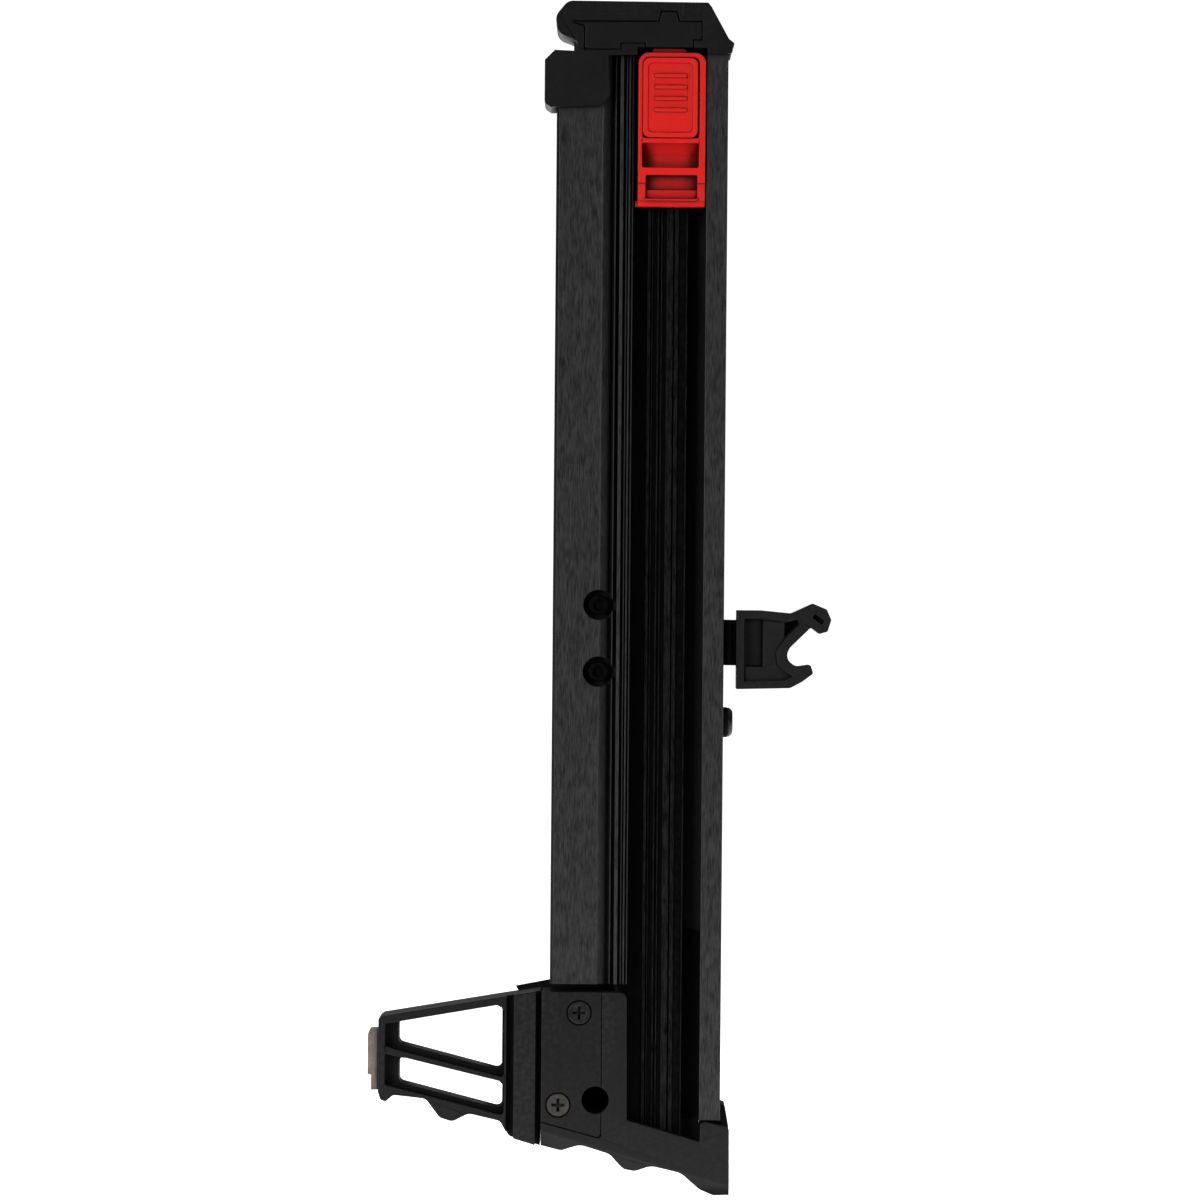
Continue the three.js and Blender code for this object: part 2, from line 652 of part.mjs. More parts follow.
// Rubber washer and button screw on the side of the track: a rest that keeps it off the tool's handle.
const BUMPER_SEAT = 0.05;
const BUMPER = [TRACK.right + BUMPER_SEAT, 0, BUMPER_HEIGHT];
const WASHER = { radius: 6.5, bore: 2.6, thick: 1.9 };
const disc = rod("+X", BUMPER, WASHER.radius, 0, WASHER.thick);
const washer = cut(disc, rod("+X", BUMPER, WASHER.bore, -1, 3, 20));
piece("bumper_washer", washer, RUBBER);
function bumperScrew() {
  const at = [BUMPER[0] + WASHER.thick + BUMPER_SEAT, 0, BUMPER_HEIGHT];
  const head = [[6.3, 0], [6.3, 0.7], [5.6, 1.7], [4.6, 2.3]];
  const profile = [[0, -6.2], [1.9, -6.2], [1.9, 0], ...head, [0, 2.3]];
  return cut(turned("+X", at, profile), rod("+X", at, 2.2, 0.9, 4, 6));
}
piece("bumper_screw", bumperScrew(), BLACK_STEEL);

// ---------- pusher ----------

// A red carriage: a frame for the thumb pad, a scooped bar, and a lipped pocket at its foot.
function pusherBody() {
  const { left, right, front, back, bottom, top, wall } = PUSHER;
  const arch = [[left, bottom], [right, bottom], [right, top, 4.5], [left, top, 4.5]];
  let body = plate(arch, front, back);
  body = join(body, plate([[14.1, bottom], [right, bottom], [right, 386.8], [14.1, 386.8]], front + 2.4, back));
  const windowTop = PAD.top + GAP;
  const window = [[left + wall, 413.8, 1.5], [right - 2.6, 413.8, 1.5]];
  window.push([right - 2.6, windowTop, 2.8], [left + wall, windowTop, 2.8]);
  const floor = [[left, 434], [right, 434], [right, top], [left, top]];
  body = cut(body, plate(window, front - 1, -9.6));
  body = cut(body, cut(plate(window, -10, back + 1), plate(floor, -20, 20)));
  // room for the pad's tongue under the top of the arch
  body = cut(body, block(20.3, 36.2, back - 8.1, back - 2.9, 440, 460));
  // opening for the spring drum in the right-hand wall
  const room = DRUM.radius + 0.8;
  body = cut(body, block(36, 50, DRUM.front - 0.4, 0, DRUM.z - room, DRUM.z + room));
  // scooped grip: a pocket whose floor is a shallow round trough
  const mouth = [[16.8, 401.1, 1], [41.3, 401.1, 1], [41.3, 411.8, 1], [16.8, 411.8, 1]];
  const trough = rod("+X", [0, -17, 404.2], 8.2, 10, 50, 48);
  body = cut(body, plate(mouth, front - 1, -9).intersect(trough));
  // lipped pocket with a ledge half way down
  const lip = [[18.4, 387.7, 0.8], [40.7, 387.7, 0.8], [40.7, 398, 0.8], [18.4, 398, 0.8]];
  const shelf = [[18.4, 391.6], [40.7, 391.6], [40.7, 398, 0.8], [18.4, 398, 0.8]];
  body = cut(body, plate(lip, front - 1, front + 2.2), plate(shelf, front - 1, front + 4.4));
  // side cheeks step back beside the pocket
  for (const [from, to] of [[14, 18.4], [40.7, 50]]) {
    body = cut(body, block(from, to, front - 1, front + 0.8, 380, 394.6));
  }
  // slanted toe
  body = cut(body, plate([[10, 380], [50, 380], [50, 387], [10, 387]], front - 1, front + 1.2));
  // bearings for the pad's pivot pin
  body = cut(body, rod("+X", [0, PAD_PIVOT.y, PAD_PIVOT.z], PAD_PIVOT.radius + GAP, 15.9, 43.2, 16));
  for (const at of PUSHER_SCREWS) {
    body = cut(body, screwHole(at, 1.6, -12, 0));
  }
  return body;
}
piece("pusher_body", pusherBody(), RED_PLASTIC);

// The block behind the slot that straddles the rail, pushes the strip and keeps the carriage in.
function pusherFollower() {
  const { left, right, front, back, bottom, top } = FOLLOWER;
  let body = block(left, right, front, back, bottom, top);
  const reach = RAIL.half + 0.4;
  const side = RAIL.right + 0.5;
  body = cut(body, bar([[0, -reach], [side, -reach], [side, reach], [0, reach]], 300, 500));
  for (const at of PUSHER_SCREWS) {
    body = cut(body, screwHole(at, 1.5, -12, -3.2));
  }
  return cut(body, rod("+Y", [DRUM.x, 0, DRUM.z], DRUM.bore, -12, -3.1, 20));
}
piece("pusher_follower", pusherFollower(), BLACK_PLASTIC);
PUSHER_SCREWS.forEach(([x, z], i) => {
  const name = `pusher_screw_${["left", "right"][i]}`;
  piece(name, socketScrew("-Y", [x, -9.9 - GAP, z], 2.2, 0.6, 1.2, 6.7), BLACK_STEEL);
});

// Pin of the spring drum, standing in the follower.
const drumPin = rod("+Y", [DRUM.x, 0, DRUM.z], DRUM.bore - GAP, DRUM.front - 0.1, -3.4, 20);
piece("drum_pin", drumPin, SPRING_STEEL);

function springDrum() {
  const width = DRUM.back - DRUM.front;
  const { bore, radius } = DRUM;
  const profile = [[bore, 0], [radius, 0], [radius, width], [bore, width], [bore, 0]];
  return turned("+Y", [DRUM.x, DRUM.front, DRUM.z], profile, 36);
}
piece("spring_drum", springDrum(), SPRING_STEEL);

// Straight run of the spring, from the drum down the groove beside the slot to its anchor in the nose.
const TAPE_LEFT = DRUM.x + DRUM.radius + 0.3;
const tape = block(TAPE_LEFT, TAPE_LEFT + TAPE.thick, DRUM.front, DRUM.back, TAPE.bottom, DRUM.z);
piece("spring_tape", tape, SPRING_STEEL);
const ANCHOR_RIGHT = STAPLE_SPACE.right - GAP;
const anchor = block(SLOT.right + 0.4, ANCHOR_RIGHT, DRUM.front - 1, DRUM.back + 0.1, -8.1, -3.4);
piece("tape_anchor", anchor, BLACK_STEEL);

// ---------- thumb pad ----------

const PAD_KNUCKLES = [[18.6, 24.6], [32.6, 35.4]];
const PAD_KNUCKLE_RADIUS = 1.7;
const PAD_BARS = { left: 22, right: 36, bottom: 425.9, pitch: 4.93, half: 0.75, height: 0.15 };

// The pad hinges at its foot; a tongue above it hooks the end cap until the pad is pressed.
function thumbPad() {
  const { left, right, front, back, bottom, top } = PAD;
  let body = plate([[left, bottom, 3], [right, bottom, 3], [right, top, 3], [left, top, 3]], front, back);
  const panel = [[19.2, 416.2, 2], [38.6, 416.2, 2], [38.6, 446.2, 2], [19.2, 446.2, 2]];
  body = cut(body, plate(panel, front - 1, front + 0.35));
  for (let i = 0; i < 4; i += 1) {
    const middle = PAD_BARS.bottom + i * PAD_BARS.pitch;
    const { half } = PAD_BARS;
    const barCorners = [
      [PAD_BARS.left, middle - half, half * 0.95],
      [PAD_BARS.right, middle - half, half * 0.95],
      [PAD_BARS.right, middle + half, half * 0.95],
      [PAD_BARS.left, middle + half, half * 0.95],
    ];
    body = join(body, plate(barCorners, front - PAD_BARS.height, front + 0.5));
  }
  const tongue = [[20.7, 440], [35.8, 440], [35.4, 452.3, 1], [21.1, 452.3, 1]];
  body = join(body, plate(tongue, back - 0.2, back + 1.5));
  const { y, z } = PAD_PIVOT;
  for (const [from, to] of PAD_KNUCKLES) {
    const web = block(from, to, back - 0.5, y, z - PAD_KNUCKLE_RADIUS, z + PAD_KNUCKLE_RADIUS);
    body = join(body, rod("+X", [0, y, z], PAD_KNUCKLE_RADIUS, from, to, 20), web);
  }
  return cut(body, rod("+X", [0, PAD_PIVOT.y, PAD_PIVOT.z], PAD_PIVOT.radius + 0.25, 10, 50, 20));
}
piece("thumb_pad", thumbPad(), RED_PLASTIC);
const pivotPin = rod("+X", [0, PAD_PIVOT.y, PAD_PIVOT.z], PAD_PIVOT.radius, 16.2, 42.9, 20);
piece("pad_pivot_pin", pivotPin, SPRING_STEEL);

// Torsion spring round the pivot pin that holds the pad out.
const coil = cut(
  rod("+X", [0, PAD_PIVOT.y, PAD_PIVOT.z], 1.6, 26, 32, 20),
  rod("+X", [0, PAD_PIVOT.y, PAD_PIVOT.z], PAD_PIVOT.radius + 0.25, 20, 40, 20),
);
piece("pad_spring", coil, SPRING_STEEL);

export default object;
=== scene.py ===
"""Studio scene of the removable long magazine of a fencing staple gun.

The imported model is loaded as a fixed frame. Each sub-assembly is a class that builds finished surfaces for
its pieces, either refined copies of the frame's own solids or surfaces worked out with numpy, and dresses
them with procedural materials. Lengths are in metres.
"""

import json
import logging
import math
from dataclasses import dataclass, field
from enum import Enum

import bmesh
import bpy
import numpy as np
from mathutils import Matrix, Vector


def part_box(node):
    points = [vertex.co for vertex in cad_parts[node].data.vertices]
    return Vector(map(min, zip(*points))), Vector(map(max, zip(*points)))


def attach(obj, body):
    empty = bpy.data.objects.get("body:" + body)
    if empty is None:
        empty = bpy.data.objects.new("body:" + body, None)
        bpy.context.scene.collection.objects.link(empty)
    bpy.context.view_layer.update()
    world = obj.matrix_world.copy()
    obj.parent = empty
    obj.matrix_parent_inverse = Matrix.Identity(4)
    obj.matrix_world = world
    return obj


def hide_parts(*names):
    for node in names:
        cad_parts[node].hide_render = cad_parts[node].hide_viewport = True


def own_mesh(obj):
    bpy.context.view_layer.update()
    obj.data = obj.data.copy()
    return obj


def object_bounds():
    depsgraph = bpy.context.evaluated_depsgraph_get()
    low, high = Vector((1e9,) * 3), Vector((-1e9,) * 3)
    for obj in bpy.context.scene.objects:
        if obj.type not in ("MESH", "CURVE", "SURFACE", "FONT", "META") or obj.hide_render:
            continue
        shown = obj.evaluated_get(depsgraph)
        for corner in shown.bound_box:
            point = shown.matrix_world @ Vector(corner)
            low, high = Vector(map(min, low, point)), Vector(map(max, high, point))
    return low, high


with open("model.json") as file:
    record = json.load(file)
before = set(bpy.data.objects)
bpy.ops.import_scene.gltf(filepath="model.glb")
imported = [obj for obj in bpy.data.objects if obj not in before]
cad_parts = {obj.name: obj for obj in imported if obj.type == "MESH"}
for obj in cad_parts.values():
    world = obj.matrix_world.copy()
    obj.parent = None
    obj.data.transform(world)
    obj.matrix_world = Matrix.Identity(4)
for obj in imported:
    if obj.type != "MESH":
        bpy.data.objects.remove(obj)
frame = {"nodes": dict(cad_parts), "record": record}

log = logging.getLogger("magazine")

MM = 0.001
MICRON = 0.000001
# An edge that turns more than SHARP is rounded off, and one that turns less than FLAT counts as flat.
SHARP = math.radians(26)
FLAT = math.radians(0.6)
# Faces within PLANAR of each other are joined. Points within MERGE (CAD) or WELD (surfaces) become one.
PLANAR = math.radians(0.4)
MERGE = 0.002 * MM
WELD = 0.0001 * MM
# The part of the grain's mask that is spread over the whole swing of colour and roughness.
GRAIN_SWING = (0.38, 0.62)
# Painted shade: in a hollow, and on faces off the lands, the colour falls to this share of the base; in a
# hollow the roughness also rises by HOLLOW_ROUGHNESS.
SHADE_SHARE = 0.06
HOLLOW_ROUGHNESS = 0.4
CAD_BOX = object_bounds()
RECORD = frame["record"]
SLOT_OF = {part["node"]: part["material_slot"] for part in RECORD["subparts"]}
BODY_OF = {node: body for body, nodes in RECORD["behaviour"]["bodies"].items() for node in nodes}


class Grain(Enum):
    """The fine relief that a finish carries."""

    BRUSHED = "brushed"
    CAST = "cast"
    MOULDED = "moulded"


class Axis(Enum):
    """An axis of the frame, as a unit vector."""

    X = (1.0, 0.0, 0.0)
    Y = (0.0, 1.0, 0.0)


# ---------- shader groups ----------


class Nodes:
    """A small helper that adds and links nodes in one tree."""

    def __init__(self, tree: bpy.types.NodeTree) -> None:
        """Keeps the tree.

        Args:
            tree: the node tree to build in.
        """
        self.tree = tree

    def add(self, kind: str, inputs: dict | None = None, **settings) -> bpy.types.Node:
        """Adds one node.

        Args:
            kind: the node's class name.
            inputs: socket name or index to a value, or to an output socket to link from.
            settings: attributes of the node.

        Returns:
            The new node.
        """
        node = self.tree.nodes.new(kind)
        for name, value in settings.items():
            setattr(node, name, value)
        for socket, value in (inputs or {}).items():
            if isinstance(value, bpy.types.NodeSocket):
                self.tree.links.new(value, node.inputs[socket])
            else:
                node.inputs[socket].default_value = value
        return node

    def math(self, operation: str, *values) -> bpy.types.NodeSocket:
        """Adds a Math node, clamping nothing.

        Args:
            operation: the node's operation.
            values: its one to three inputs.

        Returns:
            The result socket.
        """
        return self.add("ShaderNodeMath", dict(enumerate(values)), operation=operation).outputs[0]

    def ramp(self, value, low: float, high: float) -> bpy.types.NodeSocket:
        """A value's place between two limits, held between nought and one.

        Args:
            value: the socket to map.
            low: the value that gives nought.
            high: the value that gives one.

        Returns:
            The result's output.
        """
        limits = {"Value": value, "From Min": low, "From Max": high}
        return self.add("ShaderNodeMapRange", limits).outputs[0]

    def mix(self, factor, low, high) -> bpy.types.NodeSocket:
        """Adds a colour mix.

        Args:
            factor: the share of the second colour.
            low: the first colour.
            high: the second colour.

        Returns:
            The mixed colour's socket.
        """
        inputs = {0: factor, 6: low, 7: high}
        return self.add("ShaderNodeMix", inputs, data_type="RGBA").outputs[2]


class ShaderGroups:
    """Effects that several finishes share, each a node group built once."""

    def __init__(self) -> None:
        """Builds every group."""
        self.grain = {kind: self._grain(kind) for kind in Grain}
        self.wear = self._wear()
        self.marks = self._marks()
        self.hollow = self._hollow()
        self.lands = self._lands()

    @staticmethod
    def _group(name: str, inputs: dict[str, float], outputs: list[str]) -> tuple[bpy.types.NodeTree, Nodes]:
        """Makes an empty group with named float sockets.

        Args:
            name: the group's name.
            inputs: input names and their defaults.
            outputs: output names.

        Returns:
            The tree and its helper.
        """
        tree = bpy.data.node_groups.new(name, "ShaderNodeTree")
        for label, value in inputs.items():
            socket = tree.interface.new_socket(name=label, in_out="INPUT", socket_type="NodeSocketFloat")
            socket.default_value = value
        for label in outputs:
            tree.interface.new_socket(name=label, in_out="OUTPUT", socket_type="NodeSocketFloat")
        return tree, Nodes(tree)

    def _grain(self, kind: Grain) -> bpy.types.NodeTree:
        """A relief and a mask for one kind of surface, from noise on object coordinates.

        Args:
            kind: which relief.

        Returns:
            The group, with inputs Size (metres), and outputs Mask and Height.
        """
        tree, n = self._group(f"grain_{kind.value}", {"Size": 0.001}, ["Mask", "Height"])
        given = n.add("NodeGroupInput")
        leaving = n.add("NodeGroupOutput")
        place = n.add("ShaderNodeTexCoord").outputs["Object"]
        scale = n.math("DIVIDE", 1.0, given.outputs["Size"])
        if kind is Grain.BRUSHED:
            fine = n.add("ShaderNodeMapping", {"Vector": place, "Scale": (1.0, 1.0, 0.09)}).outputs[0]
            long = n.add("ShaderNodeMapping", {"Vector": place, "Scale": (0.16, 0.16, 0.06)}).outputs[0]
        else:
            fine = place
            long = n.add("ShaderNodeMapping", {"Vector": place, "Scale": (0.16, 0.16, 0.16)}).outputs[0]
        detail = {Grain.BRUSHED: 3.0, Grain.CAST: 4.0, Grain.MOULDED: 2.0}[kind]
        settings = {"Scale": scale, "Detail": detail, "Roughness": 0.62}
        first = n.add("ShaderNodeTexNoise", {"Vector": fine, **settings}).outputs["Fac"]
        second = n.add("ShaderNodeTexNoise", {"Vector": long, **settings}).outputs["Fac"]
        if kind is Grain.MOULDED:
            cells = n.add("ShaderNodeTexVoronoi", {"Vector": place, "Scale": scale}, feature="SMOOTH_F1")
            first = n.math("MULTIPLY_ADD", cells.outputs["Distance"], 0.6, n.math("MULTIPLY", first, 0.5))
        mask = n.math("MULTIPLY_ADD", first, 0.68, n.math("MULTIPLY", second, 0.32))
        tree.links.new(mask, leaving.inputs["Mask"])
        tree.links.new(first, leaving.inputs["Height"])
        return tree

    def _wear(self) -> bpy.types.NodeTree:
        """Where rubbing has bared an edge: convex places broken up by noise.

        Returns:
            The group, with inputs Amount and Size, and output Mask.
        """
        tree, n = self._group("edge_wear", {"Amount": 0.3, "Size": 0.002}, ["Mask"])
        given = n.add("NodeGroupInput")
        leaving = n.add("NodeGroupOutput")
        place = n.add("ShaderNodeTexCoord").outputs["Object"]
        scale = n.math("DIVIDE", 1.0, given.outputs["Size"])
        noise = n.add("ShaderNodeTexNoise", {"Vector": place, "Scale": scale, "Detail": 5.0}).outputs["Fac"]
        convex = n.add("ShaderNodeNewGeometry").outputs["Pointiness"]
        edge = n.ramp(convex, 0.505, 0.56)
        broken = n.ramp(noise, 0.42, 0.66)
        mask = n.math("MULTIPLY", n.math("MULTIPLY", edge, broken), given.outputs["Amount"])
        tree.links.new(mask, leaving.inputs["Mask"])
        return tree

    def _hollow(self) -> bpy.types.NodeTree:
        """How sheltered a place is: one minus its open share of the sky within reach, strengthened.

        Returns:
            The group, with inputs Reach (metres) and Strength, and output Mask.
        """
        tree, n = self._group("hollow_shade", {"Reach": 0.015, "Strength": 1.6}, ["Mask"])
        given = n.add("NodeGroupInput")
        leaving = n.add("NodeGroupOutput")
        sky = n.add("ShaderNodeAmbientOcclusion", {"Distance": given.outputs["Reach"]}, samples=8)
        closed = n.math("SUBTRACT", 0.97, sky.outputs["AO"])
        shaped = n.math("MULTIPLY", closed, given.outputs["Strength"])
        mask = n.add("ShaderNodeClamp", {"Value": shaped}).outputs[0]
        tree.links.new(mask, leaving.inputs["Mask"])
        return tree

    def _lands(self) -> bpy.types.NodeTree:
        """The outer faces that keep their colour: far enough from the middle plane and nearly square to it.
        The others, deeper or turned aside, get painted shade.

        A face that leans to the slot's side counts more than one that leans away.

        Returns:
            The group, with input Depth (metres from the middle plane), and output Mask.
        """
        tree, n = self._group("lands_painted_shade", {"Depth": 0.012}, ["Mask"])
        given = n.add("NodeGroupInput")
        leaving = n.add("NodeGroupOutput")
        source = n.add("ShaderNodeTexCoord")
        place = n.add("ShaderNodeSeparateXYZ", {0: source.outputs["Object"]}).outputs["Y"]
        lean = {0: source.outputs["Normal"], 1: (0.25, -0.97, 0.0)}
        facing = n.add("ShaderNodeVectorMath", lean, operation="DOT_PRODUCT").outputs["Value"]
        past = n.math("SUBTRACT", n.math("ABSOLUTE", place), given.outputs["Depth"])
        outer = n.ramp(past, 0.0, 0.0004)
        square = n.ramp(n.math("ABSOLUTE", facing), 0.6, 0.85)
        tree.links.new(n.math("MULTIPLY", outer, square), leaving.inputs["Mask"])
        return tree

    def _marks(self) -> bpy.types.NodeTree:
        """Faint handling marks: slow patches crossed by short smears.

        Returns:
            The group, with input Size, and output Mask.
        """
        tree, n = self._group("handling_marks", {"Size": 0.02}, ["Mask"])
        given = n.add("NodeGroupInput")
        leaving = n.add("NodeGroupOutput")
        place = n.add("ShaderNodeTexCoord").outputs["Object"]
        scale = n.math("DIVIDE", 1.0, given.outputs["Size"])
        slow = n.add("ShaderNodeTexNoise", {"Vector": place, "Scale": scale, "Detail": 3.0}).outputs["Fac"]
        stretch = {"Vector": place, "Scale": (5.0, 5.0, 0.8), "Rotation": (0.2, 0.5, 0.3)}
        turned = n.add("ShaderNodeMapping", stretch)
        smear = n.add("ShaderNodeTexNoise", {"Vector": turned.outputs[0], "Scale": scale, "Detail": 2.0})
        both = n.math("MULTIPLY", slow, smear.outputs["Fac"])
        mask = n.ramp(both, 0.14, 0.4)
        tree.links.new(mask, leaving.inputs["Mask"])
        return tree


@dataclass(frozen=True)
class Finish:
    """One finish: what light does on it, the relief and wear that it carries, and the shade painted into its
    hollows and deeper faces.

    Attributes:
        name: the material's name.
        base: linear base colour.
        worn: linear colour of a rubbed edge.
        metallic: the shader's metallic value.
        roughness: roughness at the middle of the grain.
        grain: kind of relief.
        grain_size: size of the relief, in metres.
        shade: how much the grain lightens and darkens the colour.
        gloss: how much the grain moves the roughness.
        relief: height of the relief, in metres.
        wear: strength of edge wear.
        marks: strength of handling marks in the roughness.
        specular: the shader's specular level.
        reach: how far the shade of a hollow reaches, in metres.
        shelter: strength of the shade in hollows.
        softness: radius that light sees on edges, in metres.
        lands: distance from the middle plane past which faces keep their colour, while deeper faces and faces
            turned aside get painted shade; or None for all faces alike.
    """

    name: str
    base: tuple[float, float, float]
    worn: tuple[float, float, float]
    metallic: float
    roughness: float
    grain: Grain
    grain_size: float
    shade: float
    gloss: float
    relief: float
    wear: float = 0.2
    marks: float = 0.08
    specular: float = 0.5
    reach: float = 0.014
    shelter: float = 1.9
    softness: float = 0.0004
    lands: float | None = None

    def material(self, groups: ShaderGroups) -> bpy.types.Material:
        """Builds the material.

        Args:
            groups: the shared effects.

        Returns:
            The material.
        """
        material = bpy.data.materials.new(self.name)
        material.use_nodes = True
        n = Nodes(material.node_tree)
        shader = material.node_tree.nodes["Principled BSDF"]
        grain = n.add("ShaderNodeGroup", node_tree=groups.grain[self.grain])
        grain.inputs["Size"].default_value = self.grain_size
        wear = n.add("ShaderNodeGroup", node_tree=groups.wear)
        wear.inputs["Amount"].default_value = self.wear
        marks = n.add("ShaderNodeGroup", node_tree=groups.marks)
        hollow = n.add("ShaderNodeGroup", node_tree=groups.hollow)
        hollow.inputs["Reach"].default_value = self.reach
        hollow.inputs["Strength"].default_value = self.shelter
        level = n.ramp(grain.outputs["Mask"], *GRAIN_SWING)
        dark = tuple(c * (1.0 - self.shade) for c in self.base) + (1.0,)
        light = tuple(c * (1.0 + self.shade) for c in self.base) + (1.0,)
        # painted shade colour, for hollows and for faces off the lands
        shade_colour = tuple(c * SHADE_SHARE for c in self.base) + (1.0,)
        colour = n.mix(level, dark, light)
        # Painted shade: deeper faces and faces turned aside from the lands fall to the shade colour.
        if self.lands is not None:
            lands = n.add("ShaderNodeGroup", node_tree=groups.lands)
            lands.inputs["Depth"].default_value = self.lands
            colour = n.mix(lands.outputs["Mask"], shade_colour, colour)
        colour = n.mix(wear.outputs["Mask"], colour, self.worn + (1.0,))
        # Painted shade: sheltered hollows fall to the shade colour.
        colour = n.mix(hollow.outputs["Mask"], colour, shade_colour)
        rough = n.math("MULTIPLY_ADD", level, self.gloss, self.roughness - self.gloss / 2)
        rough = n.math("MULTIPLY_ADD", marks.outputs["Mask"], -self.marks, rough)
        rough = n.math("MULTIPLY_ADD", hollow.outputs["Mask"], HOLLOW_ROUGHNESS, rough)
        rounded = n.add("ShaderNodeBevel", {"Radius": self.softness}, samples=6).outputs["Normal"]
        bump = {
            "Height": grain.outputs["Height"],
            "Distance": self.relief,
            "Strength": 1.0,
            "Normal": rounded,
        }
        normal = n.add("ShaderNodeBump", bump).outputs["Normal"]
        links = material.node_tree.links
        links.new(colour, shader.inputs["Base Color"])
        links.new(rough, shader.inputs["Roughness"])
        links.new(normal, shader.inputs["Normal"])
        shader.inputs["Metallic"].default_value = self.metallic
        shader.inputs["Specular IOR Level"].default_value = self.specular
        return material


def grey(level: float, warmth: float = 0.0) -> tuple[float, float, float]:
    """A near-neutral linear colour.

    Args:
        level: brightness.
        warmth: how far red rises and blue falls, as a share.

    Returns:
        The colour.
    """
    return (level * (1 + warmth), level, level * (1 - warmth))


FINISHES = {
    "anodised_aluminium": Finish(
        name="brushed_black_anodising", base=grey(0.0215), worn=grey(0.06), metallic=0.0,
        roughness=0.42, grain=Grain.BRUSHED, grain_size=0.48 * MM, shade=0.5, gloss=0.2,
        relief=4 * MICRON, wear=0.1, marks=0.05, specular=0.22, shelter=2.4, lands=0.0123,
    ),
    "cast_black": Finish(
        name="satin_black_casting", base=grey(0.0052), worn=grey(0.08), metallic=0.0, roughness=0.42,
        grain=Grain.CAST, grain_size=0.3 * MM, shade=0.07, gloss=0.03, relief=1.5 * MICRON, wear=0.12,
        marks=0.02, specular=0.19, reach=9 * MM, shelter=3.4, softness=0.7 * MM,
    ),
    "cover_steel": Finish(
        name="smooth_black_plate", base=grey(0.0048), worn=grey(0.07), metallic=0.0, roughness=0.42,
        grain=Grain.CAST, grain_size=0.3 * MM, shade=0.07, gloss=0.03, relief=1.5 * MICRON, wear=0.2,
        marks=0.02, specular=0.18,
    ),
    "black_steel": Finish(
        name="black_oxide_steel", base=grey(0.0008), worn=grey(0.02), metallic=0.0, roughness=0.32,
        grain=Grain.BRUSHED, grain_size=0.4 * MM, shade=0.4, gloss=0.1, relief=3 * MICRON, wear=0.12,
        marks=0.06, specular=0.06, shelter=2.6, softness=0.3 * MM,
    ),
    "rail_steel": Finish(
        name="black_oxide_rail", base=grey(0.008), worn=grey(0.03), metallic=0.0, roughness=0.4,
        grain=Grain.BRUSHED, grain_size=0.5 * MM, shade=0.85, gloss=0.1, relief=3 * MICRON, wear=0.1,
        marks=0.05, specular=0.04, reach=3 * MM, shelter=1.0, softness=0.2 * MM, lands=0.0019,
    ),
    "bracket_steel": Finish(
        name="satin_black_strap", base=grey(0.0024), worn=grey(0.03), metallic=0.0, roughness=0.36,
        grain=Grain.CAST, grain_size=0.6 * MM, shade=0.3, gloss=0.1, relief=4 * MICRON, wear=0.12,
        marks=0.06, specular=0.2, shelter=0.6,
    ),
    "clip_plastic": Finish(
        name="satin_black_acetal", base=grey(0.0074), worn=grey(0.03), metallic=0.0, roughness=0.42,
        grain=Grain.MOULDED, grain_size=0.4 * MM, shade=0.1, gloss=0.1, relief=4 * MICRON, wear=0.2,
        marks=0.06, specular=0.22, reach=3 * MM, shelter=3.0,
    ),
    "dark_screw": Finish(
        name="black_oxide_screw", base=grey(0.007, 0.03), worn=grey(0.08, 0.05), metallic=0.2,
        roughness=0.38, grain=Grain.CAST, grain_size=0.3 * MM, shade=0.2, gloss=0.15,
        relief=10 * MICRON, wear=0.4, marks=0.1, specular=0.3, reach=2.5 * MM, shelter=4.0,
    ),
    "worn_screw": Finish(
        name="warm_worn_screw", base=grey(0.02, 0.16), worn=grey(0.08, 0.12), metallic=0.2,
        roughness=0.42, grain=Grain.CAST, grain_size=0.35 * MM, shade=0.3, gloss=0.2,
        relief=12 * MICRON, wear=0.5, marks=0.1, reach=2.5 * MM, shelter=4.0,
    ),
    "bronze_steel": Finish(
        name="heat_tinted_steel", base=(0.2, 0.155, 0.13), worn=(0.4, 0.34, 0.28), metallic=0.5,
        roughness=0.42, grain=Grain.BRUSHED, grain_size=0.6 * MM, shade=0.25, gloss=0.2,
        relief=20 * MICRON, wear=0.5, marks=0.15, reach=3 * MM,
    ),
    "spring_steel": Finish(
        name="bright_spring_steel", base=grey(0.4), worn=grey(0.5), metallic=1.0, roughness=0.28,
        grain=Grain.BRUSHED, grain_size=0.3 * MM, shade=0.15, gloss=0.12, relief=4 * MICRON, wear=0.1,
        marks=0.1,
    ),
    "black_plastic": Finish(
        name="grained_black_nylon", base=grey(0.0029), worn=grey(0.02), metallic=0.0, roughness=0.46,
        grain=Grain.MOULDED, grain_size=0.4 * MM, shade=0.1, gloss=0.12, relief=5 * MICRON, wear=0.2,
        marks=0.06, specular=0.18, reach=4 * MM, shelter=3.0, softness=0.6 * MM,
    ),
    "red_plastic": Finish(
        name="satin_red_nylon", base=(0.79, 0.0185, 0.0155), worn=(0.9, 0.03, 0.02), metallic=0.0,
        roughness=0.38, grain=Grain.MOULDED, grain_size=0.3 * MM, shade=0.04, gloss=0.1,
        relief=3 * MICRON, wear=0.25, marks=0.06, specular=0.14, reach=7 * MM, shelter=2.2,
        softness=0.8 * MM,
    ),
    "black_rubber": Finish(
        name="matt_black_rubber", base=grey(0.006), worn=grey(0.02), metallic=0.0, roughness=0.7,
        grain=Grain.MOULDED, grain_size=0.5 * MM, shade=0.15, gloss=0.1, relief=6 * MICRON, wear=0.1,
        marks=0.1, specular=0.2,
    ),
}


# ---------- pieces ----------


